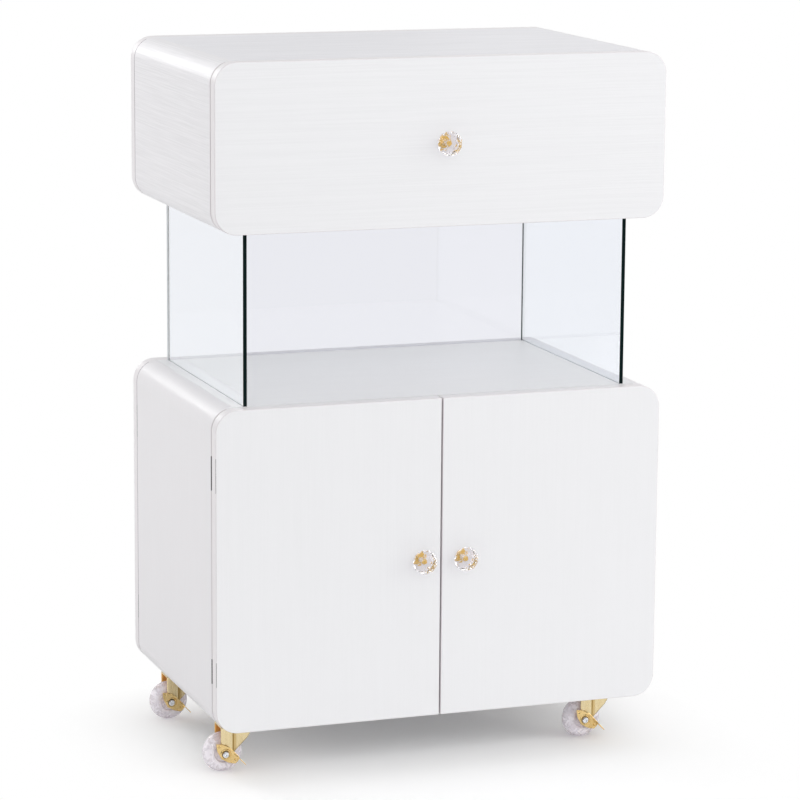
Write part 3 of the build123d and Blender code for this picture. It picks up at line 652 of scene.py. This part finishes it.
ROUND = 28.5 * mm
LEFT_ROUND, RIGHT_ROUND, ALL_ROUND = (0, 0, ROUND, ROUND), (ROUND, ROUND, 0, 0), (ROUND,) * 4
TO_FRONT = (0, -1, 0)
level_front, upright_front = ([film, edge_film_painted_shade, front_joint_shade] for film in (film_level, film_upright))
level_back, upright_back = ([film, edge_film_painted_shade, back_joint_shade] for film in (film_level, film_upright))
boards = [
    make_board("drawer_front_board", "drawer_front", TO_FRONT, level_front, ALL_ROUND, body="drawer"),
    make_board("left_door_board", "left_door", TO_FRONT, upright_front, LEFT_ROUND, body="left_door"),
    make_board("right_door_board", "right_door", TO_FRONT, upright_front, RIGHT_ROUND, body="right_door"),
    make_board("upper_back_board", "upper_back", TO_FRONT, level_back, ALL_ROUND),
    make_board("lower_back_board", "lower_back", TO_FRONT, upright_back, ALL_ROUND),
]
print("boards:", [board.name for board in boards])

# %% [markdown]
# ## The wrapped sides
#
# Each box of the cart has two sides that carry the rounded corners, like two letters C set face to face. A
# C could be cut from a thick block, but the real one is a board bent or built up along a path. So its
# section, a slim rectangle with eased edges, is carried along that path: up from under the box, round,
# straight up, round again and in over the top. The ends are eased too, which draws the fine seam where the
# top begins.

# %% Carry a section along the C
SEAM_EASE = 0.35 * mm
ARC_STEPS = 22
BOARD = 15 * mm
BOARD_EASE = 0.4 * mm
TURNED_OVER = 0.93


def c_path(outer_x, low_z, high_z, radius):
    """Outer face of a side from below to above: the normal turns from straight down, over level, to straight
    up, and the path is the corner's centre plus the radius along the normal."""
    side = math.copysign(1, outer_x)
    ease = math.degrees(SEAM_EASE / radius)
    lower = np.concatenate([[-90], np.linspace(-90 + ease, 0, ARC_STEPS)])
    turn = np.radians(np.concatenate([lower, -lower[::-1]]))
    centre_z = np.where(np.arange(len(turn)) < len(lower), low_z + radius, high_z - radius)
    normal = np.stack([side * np.cos(turn), np.zeros_like(turn), np.sin(turn)], axis=-1)
    centre_x = np.full_like(turn, outer_x - side * radius)
    return np.stack([centre_x, np.zeros_like(turn), centre_z], axis=-1) + radius * normal, normal


def wrapped_side(name, node, film, grain_along_y):
    """Section carried along the C: thickness inwards from the path, length along Y, both ends eased. The
    front rim shows the film's joint, with painted shade of the door gap and hinges, up to where the side has
    turned over."""
    low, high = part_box(node)
    outer_x = low[0] if low[0] + high[0] < 0 else high[0]
    path, normal = c_path(outer_x, low[2], high[2], ROUND)
    length = high[1] - low[1]
    full = outline_ring(BOARD, length, (BOARD_EASE,) * 4, 0)
    small = full * (1 - 2 * SEAM_EASE / np.array([BOARD, length]))
    sections = np.array([full * 0, small] + [full] * (len(path) - 2) + [small, full * 0])
    rows = np.concatenate([[0], np.arange(len(path)), [len(path) - 1]])
    centre = path[rows] - normal[rows] * BOARD / 2
    grid = centre[:, None, :] + normal[rows][:, None, :] * sections[..., :1]
    grid[..., 1] += (low[1] + high[1]) / 2 + sections[..., 1]
    steps = np.linalg.norm(np.diff(path, axis=0), axis=1)
    travel = np.concatenate([[0], np.cumsum(steps)])[rows]
    uv = np.stack([grid[..., 1], np.broadcast_to(travel[:, None], grid.shape[:2])], axis=-1)
    if not grain_along_y:
        uv = uv[..., ::-1]
    upright = np.abs(normal[rows][:-1, 2]) < TURNED_OVER
    slots = np.zeros((len(grid) - 1, grid.shape[1] - 1), dtype=int)
    slots[upright, : CORNER_STEPS - 1] = 1
    return make_piece(name, [grid_part(grid, uv=uv, slot=slots)], [film, front_joint_shade], "cabinet", [node])


for level, film, along_y in (("upper", film_upper_side, True), ("lower", film_lower_side_shaded, False)):
    for side in ("left", "right"):
        piece = wrapped_side(f"{level}_{side}_wrapped_side", f"{level}_{side}_side", film, along_y)
        print(piece.name, len(piece.data.polygons), "faces")

# %% [markdown]
# ## Flat panels
#
# The top of the cart and the floor of the cupboard are plain panels between the wrapped sides. The two panels
# beside the glass keep their solids, because those have the grooves that hold the panes.

# %% Flat panels
def dress(nodes, material):
    """Gives CAD nodes a finish of this scene in place of their plain one."""
    for node in nodes:
        frame["nodes"][node].data.materials.clear()
        frame["nodes"][node].data.materials.append(material)


TO_TOP = (0, 0, 1)
make_board("upper_top_panel", "upper_top", TO_TOP, [film_top], rim=SEAM_EASE)
make_board("lower_bottom_panel", "lower_bottom", TO_TOP, [film_level], rim=SEAM_EASE)
dress(["lower_top", "upper_bottom"], film_level)
dress(["drawer_left_side", "drawer_right_side", "drawer_back", "drawer_bottom"], film_plain)
print("panels done")

# %% [markdown]
# ## Glass panes
#
# Three panes stand between the boxes. A pane is a board as well, with a rim of half a millimetre where the
# cutter's edge was ground off, a clear face and a dark edge.

# %% Panes
PANE_RIM = 0.5 * mm
panes = [
    make_board("left_pane", "left_glass", (-1, 0, 0), [left_glass, left_edge_painted_light], rim=PANE_RIM),
    make_board("right_pane", "right_glass", (1, 0, 0), [right_glass, pane_edge], rim=PANE_RIM),
    make_board("back_pane", "back_glass", TO_FRONT, [back_glass, pane_edge], rim=PANE_RIM),
]
print("panes:", [pane.name for pane in panes])

# %% [markdown]
# ## Surfaces of revolution
#
# Knob stems, wheels and bolts are turned shapes, and all their axles run along Y. A profile of radius against
# height is swung about the axle. A spin from the menu gives the same, but the formula keeps the profile as a
# few sizes in a row.

# %% Revolve a profile
AXLE = np.array((0.0, 1.0, 0.0))
NEARLY_HALF = 1 / 2.01


def revolve_part(profile, centre, steps=48):
    """Profile rows of (radius, height) swung about an axle along Y: the centre plus the height along the axle
    plus the radius times a direction that turns once round."""
    turn = np.linspace(0, 2 * np.pi, steps + 1)
    spoke = np.stack([np.cos(turn), 0 * turn, -np.sin(turn)], axis=-1)
    spoke[-1] = spoke[0]
    radius, height = profile.T[..., None, None]
    return grid_part(np.array(centre) + height * AXLE + radius * spoke)


def rounded_profile(corners, radius, steps=4):
    """Profile through corners of (radius, height), with each inner corner cut by a small arc: a quadratic
    curve that starts and ends the given distance from the corner, or nearly half way to its neighbour."""
    corners = np.asarray(corners, dtype=float)
    t = np.linspace(0, 1, steps)[:, None]
    rows = [corners[0]]
    for before, corner, after in zip(corners[:-2], corners[1:-1], corners[2:]):
        sides = (before - corner, after - corner)
        start, end = (corner + side * min(radius / np.linalg.norm(side), NEARLY_HALF) for side in sides)
        rows.extend((1 - t) ** 2 * start + 2 * t * (1 - t) * corner + t**2 * end)
    rows.append(corners[-1])
    return np.array(rows)


print("revolve ready")

# %% [markdown]
# ## Crystal knobs
#
# A knob is a clear moulded body with ground facets on a gold base. A cone or a sphere would have no sparkle:
# what makes crystal glitter is that every facet bends the view another way. The body is a stack of rings with
# as many corners as facets. Each ring is turned half a step from the last one, so that two rings leave a band
# of flat triangles between them. Inside runs the bore for the stem, whose gold end shows at the middle.

# %% Faceted body
FACETS = 10
KNOB_RINGS = (
    (0.0, -27.0, 0), (6.2, -27.0, 0), (10.8, -24.6, 1), (15.2, -20.4, 0), (16.0, -17.0, 1),
    (14.6, -12.6, 0), (11.2, -8.2, 1), (9.2, -5.2, 0), (10.4, -2.6, 1),
)
FOOT_AND_BORE = ((10.4, -2.6), (2.45, -2.6), (2.45, -13.2), (0.0, -13.2))


def facet_part(rings, centre):
    """Bands of flat triangles between rings of corners. Each ring has a radius and a depth in millimetres,
    and a 1 if it is turned half a step."""
    radius, depth, turned = np.array(rings, dtype=float).T[..., None]
    angle = (np.arange(FACETS) + 0.5 + 0.5 * turned) * 2 * np.pi / FACETS
    corners = np.stack([radius * np.cos(angle), depth + 0 * angle, radius * np.sin(angle)], axis=-1)
    points = (np.array(centre) + corners * mm).reshape(-1, 3)
    row, column = np.meshgrid(np.arange(len(rings) - 1), np.arange(FACETS), indexing="ij")
    after = (column + 1) % FACETS
    here, above = row * FACETS, (row + 1) * FACETS
    ahead = turned[:-1] < turned[1:]
    first = np.stack([here + column, here + after, above + np.where(ahead, column, after)], axis=-1)
    second = np.stack([here + np.where(ahead, after, column), above + after, above + column], axis=-1)
    faces = np.concatenate([first.reshape(-1, 3), second.reshape(-1, 3)])
    return points, faces, np.zeros((len(points), 2)), np.zeros(len(faces), dtype=int)


def as_triangles(part):
    """The same part with each quad cut in two, so that it can be joined to a part of triangles."""
    points, faces, uv, slots = part
    halves = np.concatenate([faces[:, [0, 1, 2]], faces[:, [0, 2, 3]]])
    return points, halves, uv, np.concatenate([slots, slots])


def make_crystal(body, centre):
    """Facets, flat foot and blind bore as one closed flat-shaded piece. The foot and the bore are turned with
    as many steps as facets, so that their corners meet the body's."""
    inside = revolve_part(np.array(FOOT_AND_BORE) * mm, centre, FACETS)
    parts = [facet_part(KNOB_RINGS, centre), as_triangles(inside)]
    return make_piece(f"{body}_faceted_knob", parts, [crystal], body, [f"{body}_knob_crystal"], flat=True)


print("rings of the crystal:", len(KNOB_RINGS), "with", FACETS, "corners each")

# %% Gold base and stem
STEM_CORNERS = ((0.0, 0.0), (5.0, 0.0), (5.0, -1.6), (4.0, -2.5), (2.35, -2.5), (2.35, -13.0), (0.0, -13.1))
STEM_EASE = 0.4 * mm


def make_stem(body, centre):
    """Turned base with a sloped rim and a slim stem, swung about the knob's axle."""
    turned = revolve_part(rounded_profile(np.array(STEM_CORNERS) * mm, STEM_EASE), centre)
    return make_piece(f"{body}_gold_stem", [turned], [gold_foil], body, [f"{body}_knob_base"])


for body in ("drawer", "left_door", "right_door"):
    low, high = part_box(f"{body}_knob_base")
    place = ((low[0] + high[0]) / 2, high[1], (low[2] + high[2]) / 2)
    knob, stem = make_crystal(body, place), make_stem(body, place)
    print(knob.name, len(knob.data.polygons), "facets;", stem.name)

# %% [markdown]
# ## Caster forks
#
# A fork is one pressed sheet: two flat cheeks at the back that bend inwards to a narrow round nose, and a
# roof under the swivel. Cut from a block it would look cast. So the sheet is one surface: along it runs the
# plan of the fork, up it runs the height from a trimmed lower edge to the bend and across the roof. It gets
# its thickness afterwards. The plan is drawn for one side and mirrored for the other.

# %% Fork plan
CASTERS = ("front_left", "front_right", "rear_left", "rear_right")
KINGPIN = {joint["child"]: joint["pos_m"] for joint in frame["joints"] if joint["name"].endswith("_swivel")}
CHEEK, TAIL = 15.0, -29.4
CREASE, CREASE_HALF, CREASE_IN = -13.8, 0.5, 0.15
NOSE_HALF, NOSE_REACH = 9.5, 14.5
TAPER_PLACES, TAPER_SWEEP = (0, 0.045, 0.14, 0.30, 1), (0, 0.20, 0.34, 0.45, 1)


def fork_plan():
    """Plan of the fork about the kingpin in metres, from one cheek's rear end round the nose to the other's:
    straight cheeks, a crease, two tapers and a round nose. Points crowd towards the crease by a power of
    their share of the taper. Also gives the normals, which point outwards."""
    shoulder = NOSE_REACH - NOSE_HALF / 2
    cheek = np.linspace((TAIL, -CHEEK), (CREASE - CREASE_HALF, -CHEEK), 8)
    share = np.linspace(0, 1, 31)[1:] ** 1.6
    start = np.array((CREASE + CREASE_HALF, -CHEEK + CREASE_IN))
    reach = np.stack([share, np.interp(share, TAPER_PLACES, TAPER_SWEEP)], axis=-1)
    taper = start + ((shoulder, -NOSE_HALF) - start) * reach
    turn = np.radians(np.linspace(-80, 0, 10))
    nose = np.stack([shoulder + NOSE_HALF / 2 * np.cos(turn), NOSE_HALF * np.sin(turn)], axis=-1)
    half = np.concatenate([cheek, taper, nose])
    plan = np.concatenate([half, half[-2::-1] * (1, -1)]) * mm
    slope = np.gradient(plan, axis=0)
    normal = np.stack([slope[:, 1], -slope[:, 0]], axis=-1)
    return plan, normal / np.linalg.norm(normal, axis=1, keepdims=True)


print("points in the fork's plan:", len(fork_plan()[0]))

# %% Fork sheet
FORK_METAL = 2.0 * mm
FORK_BEND = 2.2 * mm
AXLE_BACK = 24 * mm
AXLE_HIGH = 26 * mm
EAR_RADIUS = 8.4 * mm
TRIM_X = np.array((-17.5, -8.7, 6.5, 14.5)) * mm
TRIM_Z = np.array((21.0, 30.2, 43.2, 54.2)) * mm
# Columns of the fold, and within them the crease, whose gold is darkened as painted shade.
FOLD_SHADE_COLUMNS = ((7, 18), (7, 12))
INSIDE_REFLECTION_SLOT = 3


def fork_part(kingpin, top_z):
    """Rows from the trimmed lower edge up the cheek, round the bend and in to the middle line of the roof.
    The lower edge is an arc about the axle, then a slanting line. The fold's columns have their own slots,
    for its painted shade."""
    plan, normal = fork_plan()
    x = plan[:, 0]
    ear = AXLE_HIGH - np.sqrt(np.maximum(EAR_RADIUS**2 - (x + AXLE_BACK) ** 2, 0))
    trimmed = np.where(x < TRIM_X[0], ear, np.interp(x, TRIM_X, TRIM_Z))
    wall_top = top_z - FORK_BEND
    share = np.linspace(0, 1, 9)[:, None]
    turn = np.radians(np.linspace(0, 90, 6))[1:, None]
    walls = trimmed + (wall_top - trimmed) * share
    bend = wall_top + FORK_BEND * np.sin(turn) + 0 * x
    inset = np.concatenate([0 * share, FORK_BEND * (1 - np.cos(turn))])
    upright = plan - normal * inset[..., None]
    inwards = np.linspace(0.25, 1, 4)[:, None, None]
    roof = upright[-1] * np.concatenate([inwards * 0 + 1, 1 - inwards], axis=-1)
    height = np.concatenate([walls, bend, np.full((len(roof), len(plan)), top_z)])
    grid = np.concatenate([np.concatenate([upright, roof]), height[..., None]], axis=-1)
    bands = np.zeros(len(plan) - 1, dtype=int)
    for band, (first, last) in enumerate(FOLD_SHADE_COLUMNS, start=1):
        bands[first:last] = band
    return grid_part(grid + (kingpin[0], kingpin[1], 0), slot=np.maximum(bands, bands[::-1]))


def thicken(piece, thickness, offset, inner_slot=0):
    """Gives a sheet its thickness, before its shading is evened."""
    wall = piece.modifiers.new("sheet", "SOLIDIFY")
    wall.thickness = thickness
    wall.offset = offset
    wall.material_offset = inner_slot
    piece.modifiers.move(1, 0)
    return piece


def make_fork(caster):
    """The fork's sheet with its thickness laid inwards, and a painted reflection as its finish inside."""
    body, node = f"{caster}_fork", f"{caster}_caster_fork"
    sheet = fork_part(KINGPIN[body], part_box(node)[1][2])
    piece = make_piece(f"{caster}_pressed_fork", [sheet], fork_golds_and_shades, body, [node], crisp=28)
    return thicken(piece, FORK_METAL, -1, INSIDE_REFLECTION_SLOT)


for caster in CASTERS:
    print(make_fork(caster).name)

# %% [markdown]
# ## Clear wheels
#
# The wheel is a thick clear disc with a round tread and two turned grooves that show as arcs through the
# material. A torus would have no hub and a cylinder no tread. One closed profile, swung about the axle, has
# both.

# %% Wheels
WHEEL_RADIUS, WHEEL_HALF, WHEEL_RIM = 26.0, 10.5, 15.0
WHEEL_FACE = ((3.1, 9.6), (6.4, 9.6), (7.6, 7.4), (11.8, 7.4), (13.0, 10.2), (WHEEL_RIM, WHEEL_HALF))


def wheel_profile():
    """Half of the section, from the bore out over hub, groove, web and rim to the tread, then mirrored. The
    tread is a quarter of an ellipse from the rim to the rolling line."""
    turn = np.radians(np.linspace(90, 0, 16))[1:]
    reach = WHEEL_RIM + (WHEEL_RADIUS - WHEEL_RIM) * np.cos(turn)
    tread = np.stack([reach, WHEEL_HALF * np.sin(turn)], axis=-1)
    half = np.concatenate([rounded_profile(WHEEL_FACE, 0.5), tread]) * mm
    return np.concatenate([half, half[-2::-1] * (1, -1), half[:1]])


def make_wheel(caster):
    """Wheel about its axle, which runs along Y."""
    node = f"{caster}_caster_wheel"
    disc = revolve_part(wheel_profile(), np.mean(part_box(node), axis=0), 72)
    return make_piece(f"{caster}_clear_wheel", [disc], [wheel_clear], f"{caster}_wheel", [node], crisp=40)


for caster in CASTERS:
    print(make_wheel(caster).name)

# %% [markdown]
# ## Brake levers and bolts
#
# The lever is a leaf shaped pressing on the axle bolt. A rim stands up along its top edge and runs on as the
# pedal blade. A flat leaf cut from sheet would miss the stamped ring round the bolt and the dimples near its
# ends, which catch the light. So the leaf is a height map: two parameters give the place on the leaf, and
# bumps are added to the height.

# %% Outline and relief of the lever
LEAF_LENGTH = 18.8
LEAF_WIDTH = 8.0
LEAF_MIDDLE = 1.0
LEAF_TOP = LEAF_MIDDLE + LEAF_WIDTH
LEVER_METAL = 1.1
LEVER_SLOPE = math.radians(47)
RING_RADIUS, RING_RISE = 6.0, 0.9
DISH_RADIUS, DISH_DEPTH = 5.2, 0.5
DIMPLES = ((-14.2, 1.4), (14.2, 4.6), (13.2, -0.6))


def ramp(value, start, length):
    """0 before the start, rising evenly to 1 over the length."""
    return np.clip((value - start) / length, 0, 1)


def leaf_edges(along):
    """Lower and upper edge of the leaf at a distance from its middle: two arcs that meet at the ends, but
    right of the middle the upper edge runs straight on and turns down only near the end."""
    arc = (LEAF_LENGTH**2 + LEAF_WIDTH**2) / (2 * LEAF_WIDTH)
    half = np.sqrt(arc**2 - along**2) - (arc - LEAF_WIDTH)
    straight = LEAF_WIDTH * (1 - ramp(along, 13.0, 6.2) ** 3)
    return LEAF_MIDDLE - half, LEAF_MIDDLE + np.where(along > 0, straight, half)


def leaf_height(a, b):
    """Stamped relief in millimetres: a bell curve for the ring round the bolt, a smooth step down to the
    shallow dish inside it, and a small bell downwards for each dimple."""
    from_bolt = np.hypot(a, b)
    ring = RING_RISE * np.exp(-(((from_bolt - RING_RADIUS) / 0.8) ** 2))
    dish = DISH_DEPTH / (1 + np.exp((from_bolt - DISH_RADIUS) * 4))
    dimples = sum(np.exp(-((a - x) ** 2 + (b - y) ** 2) / 1.6) for x, y in DIMPLES)
    return ring - dish - dimples


print("width of the leaf at its middle:", np.ptp(leaf_edges(0.0)), "mm")

# %% Brake levers
RIM_BEND, RIM_HEIGHT = 0.5, 3.4
PEDAL_START, PEDAL_END, PEDAL_TIP = 9.0, 28.0, 4.0
PEDAL_ROOT, PEDAL_WIDTH = 2.8, 9.4
PEDAL_OUT, PEDAL_SINK = 1.3, 0.4


def lever_frame(caster):
    """Places points given along the lever, across it and out from the cheek, all in millimetres."""
    axle_x = KINGPIN[f"{caster}_fork"][0] - AXLE_BACK
    origin = (axle_x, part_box(f"{caster}_caster_brake")[1][1], AXLE_HIGH)
    cosine, sine = math.cos(LEVER_SLOPE), math.sin(LEVER_SLOPE)
    directions = np.array([(cosine, 0, -sine), (sine, 0, cosine), (0, -1, 0)])
    return lambda a, b, h: origin + np.stack([a, b, h], axis=-1) @ directions * mm


def leaf_part(place):
    """Rows across the leaf, then a bend, then the rim that stands out along the top edge."""
    a = np.linspace(-LEAF_LENGTH, LEAF_LENGTH, 97)[None]
    lower, upper = leaf_edges(a)
    b = lower + (upper - lower) * np.linspace(0, 1, 49)[:, None]
    a = a + 0 * b
    h = LEVER_METAL + leaf_height(a, b)
    turn = np.radians(np.linspace(0, 90, 5))[1:, None]
    rise = RIM_HEIGHT * ramp(a[:1], -9.0, 3.0) * ramp(-a[:1], -LEAF_LENGTH, 3.0)
    bend = np.minimum(RIM_BEND, rise)
    bend_b = b[-1:] + bend * np.sin(turn)
    bend_h = h[-1:] + bend * (1 - np.cos(turn))
    rim_h = bend_h[-1:] + np.linspace(0.25, 1, 4)[:, None] * np.maximum(rise - bend, 0)
    rows_a = np.concatenate([a, np.repeat(a[:1], 8, axis=0)])
    rows_b = np.concatenate([b, bend_b, np.repeat(bend_b[-1:], 4, axis=0)])
    return grid_part(place(rows_a, rows_b, np.concatenate([h, bend_h, rim_h])))


def pedal_part(place):
    """Blade in line with the rim: a strip that widens outwards from the leaf and ends in a round tip."""
    a = np.linspace(PEDAL_START, PEDAL_END, 28)[None]
    outward = PEDAL_ROOT + (PEDAL_WIDTH - PEDAL_ROOT) * ramp(a, PEDAL_START, 6.0) ** 1.5
    tip = np.sqrt(1 - ramp(a, PEDAL_END - PEDAL_TIP, PEDAL_TIP) ** 2 + 1e-4)
    share = np.linspace(-0.5, 0.5, 13)[:, None]
    h = PEDAL_OUT + outward / 2 + share * outward * tip
    return grid_part(place(a + 0 * h, np.full_like(h, LEAF_TOP - PEDAL_SINK), h))


def make_brake(caster):
    """Leaf and blade as one sheet piece with its thickness added on both sides."""
    place = lever_frame(caster)
    sheets = [leaf_part(place), pedal_part(place)]
    piece = make_piece(f"{caster}_brake_lever", sheets, [gold_deep], f"{caster}_brake",
                       [f"{caster}_caster_brake"], crisp=45)
    return thicken(piece, LEVER_METAL * mm, 0)


for caster in CASTERS:
    print(make_brake(caster).name)

# %% Axle bolts
BOLT_HEAD = np.array([(0, 1.4), (1.5, 1.1), (1.9, 0.0), (3.2, 0.1), (4.25, 1.0), (4.3, 3.0), (3.0, 3.0)])
SHANK = 3.0
NUT_CORNERS = np.array([(SHANK, -3.5), (5.0, -3.5), (5.0, -0.6), (4.2, 0), (0, 0)])


def make_axle(caster):
    """Bolt with a domed head and a socket, its shank, and a six-sided nut on the far cheek, all turned."""
    node = f"{caster}_caster_axle"
    low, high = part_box(node)
    centre = (KINGPIN[f"{caster}_fork"][0] - AXLE_BACK, 0, AXLE_HIGH)
    head = BOLT_HEAD * mm + (0, low[1])
    nut = NUT_CORNERS * mm + (0, high[1])
    parts = [
        revolve_part(rounded_profile(head, 0.3 * mm), centre, 40),
        revolve_part(np.array([head[-1], nut[0]]), centre, 40),
        revolve_part(nut, centre, 6),
    ]
    return make_piece(f"{caster}_axle_bolt", parts, [polished], f"{caster}_fork", [node])


for caster in CASTERS:
    print(make_axle(caster).name)

# %% [markdown]
# ## Pieces that keep their solids
#
# Slides, hinges, screws, balls and dowels are right as they are. They only need their finish.

# %% Dress the fittings
dress(["outer_slide_rails", "inner_slide_rails", "ball_cages", "hinge_arms"], zinc)
dress(["left_hinge_cups", "right_hinge_cups", "left_cup_screws", "right_cup_screws"], zinc)
dress(["cabinet_screws", "drawer_screws"], zinc)
dress(["slide_balls", "hinge_pins"], polished)
dress(["drawer_knob_screw", "left_door_knob_screw", "right_door_knob_screw"], polished)
dress(["caster_plates"], fork_golds_and_shades[0])
dress(["panel_dowels", "drawer_dowels"], beech)
print("fittings dressed")
